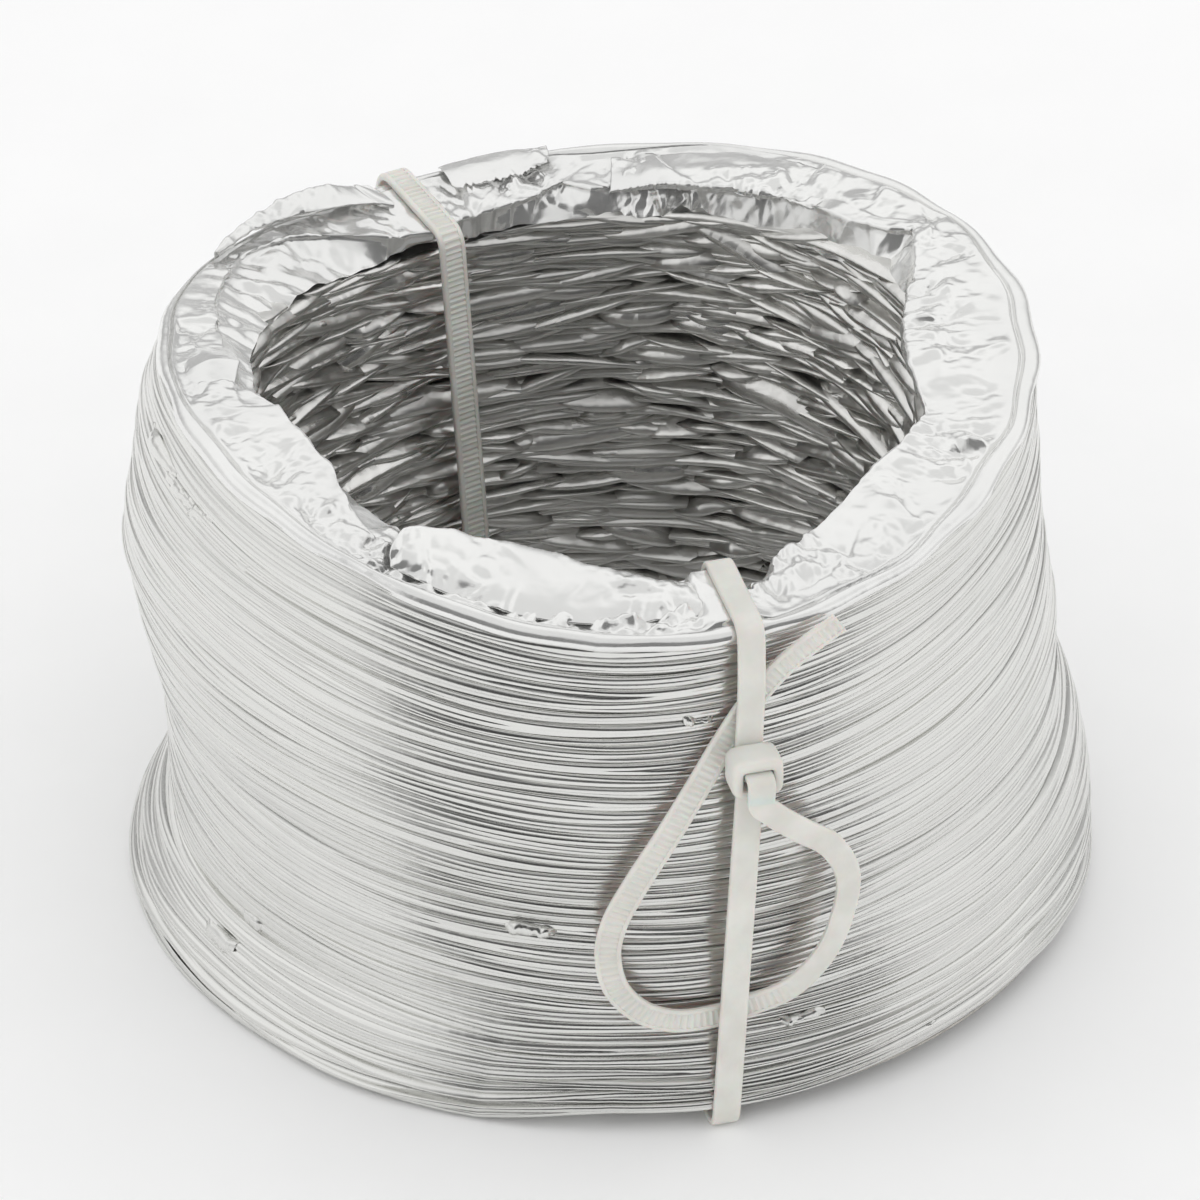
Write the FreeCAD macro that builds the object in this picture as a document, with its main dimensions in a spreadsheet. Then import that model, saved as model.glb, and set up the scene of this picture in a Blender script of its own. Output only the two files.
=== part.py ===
import FreeCAD, Part
import Sketcher
import math
import os
from FreeCAD import Placement, Rotation, Vector

# Flexible foil duct pressed short and held by two cable ties.
# Frame: +Z up, origin on the floor at the centre of the bottom turn, front of the duct towards -Y.

doc = FreeCAD.newDocument("FlexibleDuct")

# Driving dimensions in millimetres and degrees
SIZES = {
    # duct wall
    "bore_radius": "57.5",
    "section_count": "8",
    "turns_per_section": "10",
    "turn_pitch": "1.08",
    "rib_height": "0.8",
    "rib_ramp": "0.25",
    "foil_wall": "0.5",
    "wire_diameter": "0.65",
    "wire_clearance": "0.35",
    "pleats_per_section": "5",
    "pleat_edge_depth": "1.8",
    "pleat_edge_width": "0.5",
    "squeeze_travel": "0.8",
    "squeeze_clearance": "0.15",
    "bottom_cuff_height": "2.2",
    "top_cuff_height": "1.3",
    "top_cuff_round": "0.6",
    "notch_clearance": "0.4",
    # wall from the bore to the crests at the floor, and its change by each joint between sections
    "wall_depth": "26.8",
    "wall_change_one": "-3.7",
    "wall_change_two": "-4.7",
    "wall_change_three": "-6.6",
    "wall_change_four": "-4.8",
    "wall_change_five": "-4.4",
    "wall_change_six": "-5.5",
    "wall_change_seven": "-6.8",
    "wall_change_rim": "-8.9",
    # sideways shift of the stack at the same joints
    "lean_one": "3.2",
    "lean_two": "1.7",
    "lean_three": "-0.3",
    "lean_four": "-2.2",
    "lean_five": "-4.3",
    "lean_six": "-4.6",
    "lean_seven": "-4.5",
    "lean_rim": "-2.2",
    # how far the rim stands up midway between the ties, on each free side
    "free_rise_right": "9.5",
    "free_rise_left": "13",
    # cable ties
    "strap_width": "4.8",
    "strap_thickness": "1.3",
    "strap_clearance": "0.6",
    "strap_bend": "1.9",
    "tail_narrowing": "0.2",
    "tail_thickness": "1.0",
    "tail_clearance": "0.35",
    "tail_crossing_level": "81",
    "tail_crossing_top": "88",
    "tail_drop": "6",
    "head_level": "74.5",
    "head_width": "8",
    "head_depth": "5.4",
    "head_roof": "1.6",
    "head_floor": "0.9",
    "slot_clearance": "0.3",
    "pawl_thickness": "1.1",
    "pawl_tip_thickness": "0.7",
    "pawl_length": "3.5",
    "pawl_clearance": "0.2",
    "pawl_swing_room": "0.9",
    "pawl_root_wall": "0.8",
    "tie_lean": "4",
    "tie_lean_pivot": "48",
    "front_tie_angle": "15.5",
    "rear_tie_angle": "207",
}

sheet = doc.addObject("Spreadsheet::Sheet", "Sizes")
for row, (alias, value) in enumerate(SIZES.items(), start=1):
    sheet.set("A%d" % row, alias)
    sheet.set("B%d" % row, value)
    sheet.setAlias("B%d" % row, alias)
doc.recompute()

section_count = int(sheet.section_count)
turns_per_section = int(sheet.turns_per_section)
turn_pitch = sheet.turn_pitch
half_strap = sheet.strap_thickness / 2
half_tail = (sheet.strap_width - sheet.tail_narrowing) / 2

# Joints between the sections, above the floor
JOINTS = ["one", "two", "three", "four", "five", "six", "seven", "rim"]
wall_radius = sheet.bore_radius + sheet.wall_depth
WALL_RADII = [wall_radius] + [wall_radius + getattr(sheet, "wall_change_" + joint) for joint in JOINTS]
LEANS = [0.0] + [getattr(sheet, "lean_" + joint) for joint in JOINTS]

section_height = turns_per_section * turn_pitch
section_gap = sheet.squeeze_travel + sheet.squeeze_clearance
section_step = section_height + section_gap
stack_top = sheet.bottom_cuff_height + section_count * section_step - section_gap

# Layers of the wall, counted inwards from the crest of the ridges
channel_outer = sheet.rib_height + sheet.foil_wall
wire_line = channel_outer + sheet.wire_clearance + sheet.wire_diameter / 2
channel_inner = wire_line + sheet.wire_diameter / 2 + sheet.wire_clearance
pleat_root = sheet.bore_radius + sheet.pleat_edge_depth

# Points that each ring of the wall goes through, and steps in each turn of the wire
RING_POINTS = 24
WIRE_STEPS = 8

UP = Vector(0, 0, 1)
parts = []


def keep(name, shape):
    """A sub-part whose shape the functions below make from the sheet's sizes."""
    feature = doc.addObject("Part::Feature", name)
    feature.Shape = shape
    parts.append(feature)


def bound(kind, name, values):
    """Part primitive whose sizes follow the sheet."""
    feature = doc.addObject(kind, name)
    for size, expression in values.items():
        feature.setExpression(size, expression)
    return feature


def joined(kind, name, base, tool):
    """Boolean of two objects."""
    feature = doc.addObject(kind, name)
    feature.Base = base
    feature.Tool = tool
    return feature


# Duct wall

def section_floor(section):
    """Height of the lowest turn of a section; sections count from 1 at the floor."""
    return sheet.bottom_cuff_height + (section - 1) * section_step


def wall_at(z):
    """Centre and crest radius of the stack at level z, straight between the joints."""
    steps = len(JOINTS)
    place = (z - sheet.bottom_cuff_height) * steps / (section_count * section_step)
    place = min(max(place, 0.0), float(steps))
    low = min(int(place), steps - 1)
    share = place - low
    radius = WALL_RADII[low] + share * (WALL_RADII[low + 1] - WALL_RADII[low])
    lean = LEANS[low] + share * (LEANS[low + 1] - LEANS[low])
    return Vector(lean, 0, z), radius


def raised(angle, z):
    """Height of level z in a direction counted from the front towards +X. The ties hold it down to z."""
    swing = (angle - sheet.front_tie_angle) % 360
    span = (sheet.rear_tie_angle - sheet.front_tie_angle) % 360
    share, rise = swing / span, sheet.free_rise_right
    if swing > span:
        share, rise = (swing - span) / (360 - span), sheet.free_rise_left
    return z * (1 + rise / stack_top * math.sin(math.pi * share) ** 2)


def wall_point(angle, z, radius):
    """Point at level z, at a radius from the stack's centre there."""
    turned = math.radians(angle)
    middle = wall_at(z)[0].x
    return Vector(middle + radius * math.sin(turned), -radius * math.cos(turned), raised(angle, z))


def ring(z, radius):
    """Closed curve round the stack at level z."""
    angles = [360 * point / RING_POINTS for point in range(RING_POINTS)]
    curve = Part.BSplineCurve()
    curve.interpolate(
        Points=[wall_point(angle, z, radius) for angle in angles], PeriodicFlag=True,
        Parameters=[float(point) for point in range(RING_POINTS + 1)]
    )
    return curve.toShape()


def wall_ring(z, inset):
    """Ring round the stack at level z, inset from the crest."""
    return ring(z, wall_at(z)[1] - inset)


def skin(rings):
    """Solid inside the ruled faces that join each ring to the next, and the last to the first."""
    faces = [Part.makeRuledSurface(near, far) for near, far in zip(rings, rings[1:] + rings[:1])]
    shell = Part.Compound(faces)
    shell.sewShape()
    solid = Part.Solid(shell.Shells[0])
    if solid.Volume < 0:
        solid.reverse()
    return solid


def outer_foil(section):
    """Outer ply of one section: a ridge over each turn of the wire."""
    floor = section_floor(section)
    rings = [wall_ring(floor, sheet.rib_height)]
    for turn in range(turns_per_section):
        foot = floor + turn * turn_pitch
        rings.append(wall_ring(foot + sheet.rib_ramp, 0))
        rings.append(wall_ring(foot + turn_pitch - sheet.rib_ramp, 0))
        rings.append(wall_ring(foot + turn_pitch, sheet.rib_height))
    rings.append(wall_ring(floor + section_height, channel_outer))
    rings.append(wall_ring(floor, channel_outer))
    return skin(rings)


def inner_pleats(section):
    """Folded inner ply of one section, with the edges of its pleats in the bore."""
    floor = section_floor(section)
    pleats = int(sheet.pleats_per_section)
    pitch = section_height / pleats
    rings = [ring(floor, pleat_root)]
    for pleat in range(pleats):
        foot = floor + pleat * pitch
        edge = foot + (pitch - sheet.pleat_edge_width) / 2
        rings.append(ring(edge, sheet.bore_radius))
        rings.append(ring(edge + sheet.pleat_edge_width, sheet.bore_radius))
        rings.append(ring(foot + pitch, pleat_root))
    rings.append(wall_ring(floor + section_height, channel_inner))
    rings.append(wall_ring(floor, channel_inner))
    return skin(rings)


# Spring wire

def arc_from(start, way, end):
    """Arc that leaves start along a unit way and reaches end."""
    chord = end - start
    along = Vector(chord).normalize()
    across = way - along * way.dot(along)
    rise = chord.Length / 2 * math.tan(math.acos(min(1.0, way.dot(along))) / 2)
    return Part.Arc(start, start + chord * 0.5 + across.normalize() * rise, end)


def biarc(start, start_way, end, end_way):
    """Two arcs that join two points and keep the unit way at each."""
    gap = end - start
    ways = start_way + end_way
    spread = 2 * (1 - start_way.dot(end_way))
    reach = (math.sqrt(gap.dot(ways) ** 2 + spread * gap.dot(gap)) - gap.dot(ways)) / spread
    meet = (start + start_way * reach + end - end_way * reach) * 0.5
    back = arc_from(end, end_way * -1, meet)
    middle = back.value((back.FirstParameter + back.LastParameter) / 2)
    return [arc_from(start, start_way, meet), Part.Arc(meet, middle, end)]


def wire_point(start, turns):
    """Point on the wire's middle line after a number of turns from level start."""
    level = start + turns * turn_pitch
    return wall_point(360 * turns, level, wall_at(level)[1] - wire_line)


def wire_way(start, turns):
    """Unit tangent of the wire's middle line after a number of turns."""
    step = 1e-4
    return (wire_point(start, turns + step) - wire_point(start, turns - step)).normalize()


def wire_arcs(section):
    """Middle line of one section's wire, two arcs for each step."""
    start = section_floor(section) + turn_pitch / 2
    arcs = []
    for step in range(WIRE_STEPS * (turns_per_section - 1)):
        low, high = step / WIRE_STEPS, (step + 1) / WIRE_STEPS
        near, far = wire_point(start, low), wire_point(start, high)
        arcs += biarc(near, wire_way(start, low), far, wire_way(start, high))
    return arcs


def wire_turns(section):
    """Wire of one section, one unbroken helix."""
    arcs = wire_arcs(section)
    path = Part.Wire([arc.toShape() for arc in arcs])
    start = arcs[0].value(arcs[0].FirstParameter)
    way = arcs[0].tangent(arcs[0].FirstParameter)[0]
    end = Part.Wire([Part.Circle(start, way, sheet.wire_diameter / 2).toShape()])
    return path.makePipeShell([end], True, False)


def least_wire_gap(section):
    """Least clear gap between neighbouring turns, measured on points of the arcs."""
    per_arc = 4
    points = []
    for arc in wire_arcs(section):
        span = arc.LastParameter - arc.FirstParameter
        points += [arc.value(arc.FirstParameter + span * i / per_arc) for i in range(per_arc)]
    turn = 2 * WIRE_STEPS * per_arc
    gaps = []
    for i, point in enumerate(points):
        gaps += [point.distanceToPoint(other) for other in points[i + turn // 2:i + 3 * turn // 2]]
    return min(gaps) - sheet.wire_diameter


# Cuffs: the foil ends folded over the first and the last turn

def side_shift(z):
    """How far a leaning tie has moved round the duct at height z."""
    return (z - sheet.tie_lean_pivot) * math.tan(math.radians(sheet.tie_lean))


def strap_notch(name, angle):
    """Room for a strap under the bottom cuff, from the bore outwards."""
    notch = bound("Part::Box", name, {
        "Length": "Sizes.strap_width + 2 * Sizes.notch_clearance",
        "Width": "Sizes.bore_radius + Sizes.wall_depth",
        "Height": "Sizes.strap_thickness + Sizes.notch_clearance",
    })
    side = side_shift(half_strap) - sheet.strap_width / 2 - sheet.notch_clearance
    corner = Vector(side, -sheet.bore_radius / 2 - wall_radius, 0)
    notch.Placement = Placement(Vector(), Rotation(UP, angle)) * Placement(corner, Rotation())
    return notch


def bottom_cuff():
    """Flat foot ring, with a notch for each strap."""
    height = "Sizes.bottom_cuff_height"
    outside = bound("Part::Cylinder", "CuffOutside", {
        "Radius": "Sizes.bore_radius + Sizes.wall_depth", "Height": height,
    })
    inside = bound("Part::Cylinder", "CuffInside", {
        "Radius": "Sizes.bore_radius + Sizes.pleat_edge_depth", "Height": height,
    })
    ring = joined("Part::Cut", "CuffRing", outside, inside)
    notches = doc.addObject("Part::MultiFuse", "StrapNotches")
    notches.Shapes = [
        strap_notch("FrontNotch", sheet.front_tie_angle), strap_notch("RearNotch", sheet.rear_tie_angle)
    ]
    parts.append(joined("Part::Cut", "bottom_cuff", ring, notches))


def plane_of(body, role):
    return next(feature for feature in body.Origin.OriginFeatures if feature.Role == role)


def outline_sketch(body, name, role, corners):
    """Closed outline of straight lines on one of the body's planes."""
    sketch = body.newObject("Sketcher::SketchObject", name)
    sketch.AttachmentSupport = [(plane_of(body, role), "")]
    sketch.MapMode = "FlatFace"
    for start, end in zip(corners, corners[1:] + corners[:1]):
        sketch.addGeometry(Part.LineSegment(Vector(*start, 0), Vector(*end, 0)), False)
    count = len(corners)
    for line in range(count):
        sketch.addConstraint(Sketcher.Constraint("Coincident", line, 2, (line + 1) % count, 1))
    return sketch


def top_cuff():
    """Lip folded inwards over the top turn, rounded where it goes over the rim."""
    rim, top, edge = WALL_RADII[-1], stack_top + sheet.top_cuff_height, sheet.top_cuff_round
    diagonal = edge * (1 - math.sqrt(0.5))
    return skin([
        ring(stack_top, pleat_root),
        ring(stack_top, rim),
        ring(top - edge, rim),
        ring(top - diagonal, rim - diagonal),
        ring(top, rim - edge),
        ring(top, pleat_root),
    ])


# Cable ties: x runs round the duct, -y points outwards and z is up, then the tie is turned to its angle

def wall_along(angle, z):
    """Crest radius in a direction that is counted from the front towards +X, at level z."""
    centre, crest = wall_at(z)
    return crest + centre.x * math.sin(math.radians(angle))


def bore_along(angle, z):
    """Bore radius in the same direction, at the edge of a leaning strap that comes nearest to the bore."""
    lean, turned = wall_at(z)[0].x, math.radians(angle)
    off_centre = abs(side_shift(z) - lean * math.cos(turned)) + sheet.strap_width / 2
    return math.sqrt(sheet.bore_radius ** 2 - off_centre ** 2) + lean * math.sin(turned)


def head_back(angle):
    """Radius of the head's back face, clear of the strap's upper leg behind it."""
    passing = 2 * sheet.tail_clearance + sheet.tail_thickness + sheet.strap_clearance
    return wall_along(angle, sheet.head_level) + passing + sheet.strap_thickness + sheet.slot_clearance


def head_front(angle):
    return head_back(angle) + sheet.head_depth


def head_bottom():
    pocket = sheet.pawl_thickness + sheet.pawl_swing_room
    return sheet.head_level - half_strap - sheet.slot_clearance - pocket - sheet.head_floor


def strap_route(angle):
    """Middle line of the strap as (radius, height): from its root under the head, round the wall,
    out through the slot and down in front of the head."""
    levels = [section_floor(section) for section in range(1, section_count + 1)] + [stack_top]
    inner_leg = min(bore_along(angle, z) for z in levels) - sheet.strap_clearance - half_strap
    foot = max(wall_along(angle, z) for z in levels[:2]) + sheet.strap_clearance + half_strap
    rim = wall_along(angle, stack_top) + sheet.strap_clearance + half_strap
    over_rim = stack_top + sheet.top_cuff_height + sheet.notch_clearance + half_strap
    crossing = wall_along(angle, sheet.tail_crossing_level)
    crossing += 2 * sheet.tail_clearance + sheet.tail_thickness + half_strap
    hanging = head_front(angle) + sheet.strap_bend + half_strap
    return [
        (head_back(angle) + sheet.strap_thickness, head_bottom() + sheet.head_floor / 2),
        (foot, half_strap),
        (inner_leg, half_strap),
        (inner_leg, over_rim),
        (rim, over_rim),
        (crossing, sheet.tail_crossing_top),
        (head_back(angle) - sheet.slot_clearance - half_strap, sheet.head_level),
        (hanging, sheet.head_level),
        (hanging, sheet.head_level - sheet.tail_drop),
    ]


def way_of(start, end):
    length = math.hypot(end[0] - start[0], end[1] - start[1])
    return ((end[0] - start[0]) / length, (end[1] - start[1]) / length)


def side_of_route(route, distance):
    """The route moved to its left by a distance, its corners kept sharp."""
    ways = [way_of(start, end) for start, end in zip(route, route[1:])]
    points = [(route[0][0] - ways[0][1] * distance, route[0][1] + ways[0][0] * distance)]
    for corner, before, after in zip(route[1:-1], ways, ways[1:]):
        reach = distance / (1 + before[0] * after[0] + before[1] * after[1])
        points.append((
            corner[0] - (before[1] + after[1]) * reach, corner[1] + (before[0] + after[0]) * reach
        ))
    points.append((route[-1][0] - ways[-1][1] * distance, route[-1][1] + ways[-1][0] * distance))
    return points


def turns_left(before, corner, after):
    """1 where a route turns left at a corner, -1 where it turns right."""
    first, second = way_of(before, corner), way_of(corner, after)
    return 1 if first[0] * second[1] > first[1] * second[0] else -1


def in_tie(point):
    """A (radius, height) point on the near edge of the leaning strap."""
    radius, z = point
    return Vector(side_shift(z) - sheet.strap_width / 2, -radius, z)


def strap_side(route, side):
    """Edges of one face of the strap, each corner rounded about the strap's own bend."""
    points = side_of_route(route, side * half_strap)
    edges = []
    start = in_tie(points[0])
    for index in range(1, len(points) - 1):
        turn = turns_left(*route[index - 1:index + 2])
        bend = sheet.strap_bend - turn * side * half_strap
        corner = in_tie(points[index])
        back = (in_tie(points[index - 1]) - corner).normalize()
        ahead = (in_tie(points[index + 1]) - corner).normalize()
        half = back.getAngle(ahead) / 2
        reach = bend / math.tan(half)
        middle = corner + (back + ahead).normalize() * (bend / math.sin(half) - bend)
        edges.append(Part.LineSegment(start, corner + back * reach).toShape())
        edges.append(Part.Arc(corner + back * reach, middle, corner + ahead * reach).toShape())
        start = corner + ahead * reach
    edges.append(Part.LineSegment(start, in_tie(points[-1])).toShape())
    return edges


def strap_band(angle):
    """Strap of one thickness along its route, all of it at one width."""
    route = strap_route(angle)
    left, right = strap_side(route, 1), strap_side(route, -1)
    ends = [
        Part.LineSegment(left[0].Vertexes[0].Point, right[0].Vertexes[0].Point).toShape(),
        Part.LineSegment(left[-1].Vertexes[-1].Point, right[-1].Vertexes[-1].Point).toShape(),
    ]
    outline = Part.Wire(Part.sortEdges(left + right + ends)[0])
    return Part.Face(outline).extrude(Vector(sheet.strap_width, 0, 0))


# Free tail past the slot: (degrees round the duct from the tie, height as a share of the stack,
# distance off the crests in thicknesses of the tail)
TAIL_STATIONS = [
    (5.0, 0.6614, 10.0),
    (10.0, 0.5932, 8.4),
    (12.6, 0.5092, 7.3),
    (12.6, 0.4199, 6.6),
    (10.4, 0.336, 5.2),
    (6.2, 0.273, 3.3),
    (1.0, 0.2394, 1.5),
    (-3.5, 0.2268, 1.5),
    (-8.0, 0.231, 2.3),
    (-12.0, 0.2593, 3.2),
    (-14.9, 0.3118, 4.0),
    (-15.9, 0.3801, 4.4),
    (-15.2, 0.4514, 4.5),
    (-12.8, 0.5407, 4.3),
    (-9.0, 0.6404, 3.6),
    (-4.5, 0.7402, 2.3),
    (-0.8, 0.8136, 1.15),
    (2.2, 0.8714, 1.25),
    (5.6, 0.9197, 1.5),
    (10.0, 0.9659, 2.4),
    (14.2, 1.004, 3.8),
]


def tail_point(tie_angle, station):
    """Point of the tail's middle line and the outward way there, in the tie's frame."""
    swing, share, layers = station
    z = share * stack_top
    out = Rotation(UP, swing).multVec(Vector(0, -1, 0))
    return out * (wall_along(tie_angle + swing, z) + layers * sheet.tail_thickness) + UP * z, out


def tail_band(tie_angle):
    """Free end of the strap, flat against the outward way at each station."""
    hanging, end_z = strap_route(tie_angle)[-1]
    seat = end_z + sheet.tail_thickness
    points = [(Vector(side_shift(seat), -hanging, seat), Vector(0, -1, 0))]
    points.append((Vector(side_shift(end_z), -hanging, end_z), Vector(0, -1, 0)))
    points += [tail_point(tie_angle, station) for station in TAIL_STATIONS]
    sections = []
    for index, (point, out) in enumerate(points):
        before = points[max(index - 1, 0)][0]
        after = points[min(index + 1, len(points) - 1)][0]
        way = (after - before).normalize()
        across = out.cross(way).normalize() * half_tail
        face_way = way.cross(across).normalize() * (sheet.tail_thickness / 2)
        corners = [across + face_way, face_way - across, across * -1 - face_way, across - face_way]
        corners.append(corners[0])
        sections.append(Part.makePolygon([point + corner for corner in corners]))
    return Part.makeLoft(sections, True, True)


def head_block(prefix, angle):
    """Head with a slot for the strap and a pocket under it for the pawl."""
    middle = side_shift(sheet.head_level)
    back, front = head_back(angle), head_front(angle)
    slot_floor = sheet.head_level - half_strap - sheet.slot_clearance
    pocket_height = sheet.pawl_thickness + sheet.pawl_swing_room
    opening_width = "Sizes.strap_width + 2 * Sizes.slot_clearance"
    slot_height = "Sizes.strap_thickness + 2 * Sizes.slot_clearance"
    block = bound("Part::Box", prefix + "_head_block", {
        "Length": "Sizes.head_width",
        "Width": "Sizes.head_depth",
        "Height": "Sizes.head_floor + Sizes.pawl_thickness + Sizes.pawl_swing_room + Sizes.head_roof"
                  " + " + slot_height,
    })
    block.Placement.Base = Vector(middle - sheet.head_width / 2, -front, head_bottom())
    slot = bound("Part::Box", prefix + "_slot", {
        "Length": opening_width,
        "Width": "Sizes.head_depth",
        "Height": slot_height,
    })
    side = middle - sheet.strap_width / 2 - sheet.slot_clearance
    slot.Placement.Base = Vector(side, -front, slot_floor)
    pocket = bound("Part::Box", prefix + "_pocket", {
        "Length": opening_width,
        "Width": "Sizes.head_depth - Sizes.pawl_root_wall",
        "Height": "Sizes.pawl_thickness + Sizes.pawl_swing_room",
    })
    pocket.Placement.Base = Vector(side, -front, slot_floor - pocket_height)
    hollow = joined("Part::Fuse", prefix + "_hollow", slot, pocket)
    return joined("Part::Cut", prefix + "_head", block, hollow)


def pawl_corner(angle):
    """Top of the pawl's root, at the middle of its width."""
    radius = head_back(angle) + sheet.pawl_root_wall + sheet.pawl_clearance
    top = sheet.head_level - half_strap - sheet.pawl_clearance
    return Vector(side_shift(sheet.head_level), -radius, top)


def pawl(prefix, angle):
    """Tongue under the strap: thick at its root by the back of the head, thin at its tip."""
    body = doc.addObject("PartDesign::Body", prefix + "_tie_pawl")
    length, root, tip = sheet.pawl_length, sheet.pawl_thickness, sheet.pawl_tip_thickness
    corners = [(0, 0), (0, -root), (-length, -tip), (-length, 0)]
    sketch = outline_sketch(body, prefix + "_pawl_profile", "YZ_Plane", corners)
    sketch.addConstraint(Sketcher.Constraint("Vertical", 0))
    sketch.addConstraint(Sketcher.Constraint("Vertical", 2))
    sketch.addConstraint(Sketcher.Constraint("Coincident", 0, 1, -1, 1))
    sketch.addConstraint(Sketcher.Constraint("Horizontal", 3))
    sizes = [(0, "pawl_thickness", root), (2, "pawl_tip_thickness", tip), (3, "pawl_length", length)]
    for line, size, value in sizes:
        index = sketch.addConstraint(Sketcher.Constraint("Distance", line, value))
        sketch.setExpression("Constraints[%d]" % index, "Sizes." + size)
    pad = body.newObject("PartDesign::Pad", prefix + "_pawl_pad")
    pad.Profile = sketch
    pad.setExpression("Length", "Sizes.strap_width - 2 * Sizes.pawl_clearance")
    pad.Midplane = True
    body.Placement = Placement(Vector(), Rotation(UP, angle)) * Placement(pawl_corner(angle), Rotation())
    parts.append(body)


def cable_tie(prefix, angle):
    """One moulding of head, strap and tail, and its pawl."""
    band = doc.addObject("Part::Feature", prefix + "_band")
    band.Shape = strap_band(angle)
    tail = doc.addObject("Part::Feature", prefix + "_tail")
    tail.Shape = tail_band(angle)
    tie = doc.addObject("Part::MultiFuse", prefix + "_cable_tie")
    tie.Shapes = [head_block(prefix, angle), band, tail]
    tie.Placement = Placement(Vector(), Rotation(UP, angle))
    parts.append(tie)
    pawl(prefix, angle)


for section in range(1, section_count + 1):
    keep("outer_foil_%d" % section, outer_foil(section))
    keep("wire_turns_%d" % section, wire_turns(section))
    keep("inner_pleats_%d" % section, inner_pleats(section))
wire_gap = min(least_wire_gap(section) for section in range(1, section_count + 1))
print("least gap of the wire to itself: %.3f mm" % wire_gap)
keep("top_cuff", top_cuff())
bottom_cuff()
cable_tie("front", sheet.front_tie_angle)
cable_tie("rear", sheet.rear_tie_angle)
for part in parts:
    part.Label = part.Name

doc.recompute()
for feature in doc.Objects:
    if {"Invalid", "Error"} & set(feature.State):
        raise RuntimeError("%s is %s" % (feature.Name, feature.State))
for part in parts:
    if part.Shape.isNull() or not part.Shape.isValid():
        raise RuntimeError("%s has no valid shape" % part.Label)
os.makedirs("parts", exist_ok=True)
for part in parts:
    part.Shape.exportStep("parts/%s.step" % part.Label)
    print("%-18s %9.1f mm3, %d solid" % (part.Label, part.Shape.Volume, len(part.Shape.Solids)))
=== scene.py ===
import math

import bpy
import numpy as np
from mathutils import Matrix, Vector


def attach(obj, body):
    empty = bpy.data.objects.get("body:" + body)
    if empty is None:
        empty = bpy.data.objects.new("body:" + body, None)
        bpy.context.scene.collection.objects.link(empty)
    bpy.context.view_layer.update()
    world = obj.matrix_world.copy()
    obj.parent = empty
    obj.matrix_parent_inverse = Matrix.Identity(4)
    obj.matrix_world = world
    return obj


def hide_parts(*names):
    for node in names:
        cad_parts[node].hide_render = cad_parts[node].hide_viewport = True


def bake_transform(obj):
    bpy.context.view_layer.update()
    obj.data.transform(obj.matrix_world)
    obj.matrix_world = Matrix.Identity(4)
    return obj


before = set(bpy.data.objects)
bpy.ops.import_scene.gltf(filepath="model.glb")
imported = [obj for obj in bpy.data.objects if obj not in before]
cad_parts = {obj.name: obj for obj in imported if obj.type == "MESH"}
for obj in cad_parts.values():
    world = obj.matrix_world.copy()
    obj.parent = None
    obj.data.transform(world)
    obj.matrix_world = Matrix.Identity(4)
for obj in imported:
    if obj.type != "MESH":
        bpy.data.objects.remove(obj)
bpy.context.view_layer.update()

# Lengths are in millimetres up to the moment a mesh is made. Angles are in degrees, counted from the
# front (-Y) towards +X.
METRES = 0.001

# The stack of turns
TURN_PITCH = 1.175
FIRST_LEVEL = 2.2
STACK_TOP = 95.25
SECTIONS = 8
SECTION_TURNS = 10
SECTION_STEP = SECTION_TURNS * TURN_PITCH
LEVELS = [FIRST_LEVEL + SECTION_STEP * joint for joint in range(SECTIONS + 1)]
RADII = [84.3, 80.6, 79.6, 77.7, 79.5, 79.9, 78.8, 77.5, 75.4]
LEANS = [0, 3.2, 1.7, -0.3, -2.2, -4.3, -4.6, -4.5, -2.2]
BORE_RADIUS = 57.5

# The ties hold the stack down, and its free sides stand higher
FRONT_TIE = 15.5
REAR_TIE = 207
RISE_RIGHT = 9.5
RISE_LEFT = 13

# The helix starts at the back, behind the rear tie
SEAM = 222

# How far the lowest turns are drawn up beside the front tie: (degrees, height)
FOOT_LIFT = np.array([
    (0, 3.4), (10, 3.2), (35, 4.2), (60, 4.6), (90, 0), (330, 0), (344, 0.4), (355, 2.8),
])
# How far they pass over the rear strap, the degrees this reaches, and the level where both end
STRAP_BUMP = 1.5
STRAP_BUMP_REACH = 4.5
LIFT_ENDS = 26
# No foil of the stack is nearer to the floor than this
LEAST_HEIGHT = 0.02


# Shapes

def smooth_step(value, low, high):
    """0 up to low, 1 from high on, and a smooth change between them."""
    share = np.clip((value - low) / (high - low), 0, 1)
    return share * share * (3 - 2 * share)


def round_table(angle, table):
    """Value in a direction, straight between the table's (degrees, value) round the whole circle."""
    return np.interp(np.mod(angle, 360), table[:, 0], table[:, 1], period=360)


def swing_from(angle, middle):
    """Degrees from a direction, between -180 and 180."""
    return np.mod(angle - middle + 180, 360) - 180


def waves(place, rng, count, shortest, longest):
    """Sum of sine waves with random lengths and starts, between about -1 and 1."""
    total = np.zeros_like(place)
    for length in np.exp(rng.uniform(math.log(shortest), math.log(longest), count)):
        total += np.sin(2 * math.pi * (place / length + rng.uniform()))
    return total / math.sqrt(count)


def creases(x, y, size, rng, count=6):
    """Height of crushed foil, from 0 to about 1: flat panels that meet in sharp creases."""
    total = np.zeros_like(x)
    for _ in range(count):
        turn = rng.uniform(0, math.pi)
        reach = size * rng.uniform(0.6, 1.7)
        along = x * math.cos(turn) + y * math.sin(turn)
        across = y * math.cos(turn) - x * math.sin(turn)
        bent = along + 0.3 * reach * np.sin(across / reach * 1.7 + rng.uniform(0, 6))
        fold = np.abs(np.mod(bent / reach + rng.uniform(), 1) * 2 - 1)
        other = np.abs(np.mod(across / reach * 0.43 + rng.uniform(), 1) * 2 - 1)
        total += np.minimum(fold, other * 1.4) * reach
    return total / (size * count)


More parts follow.
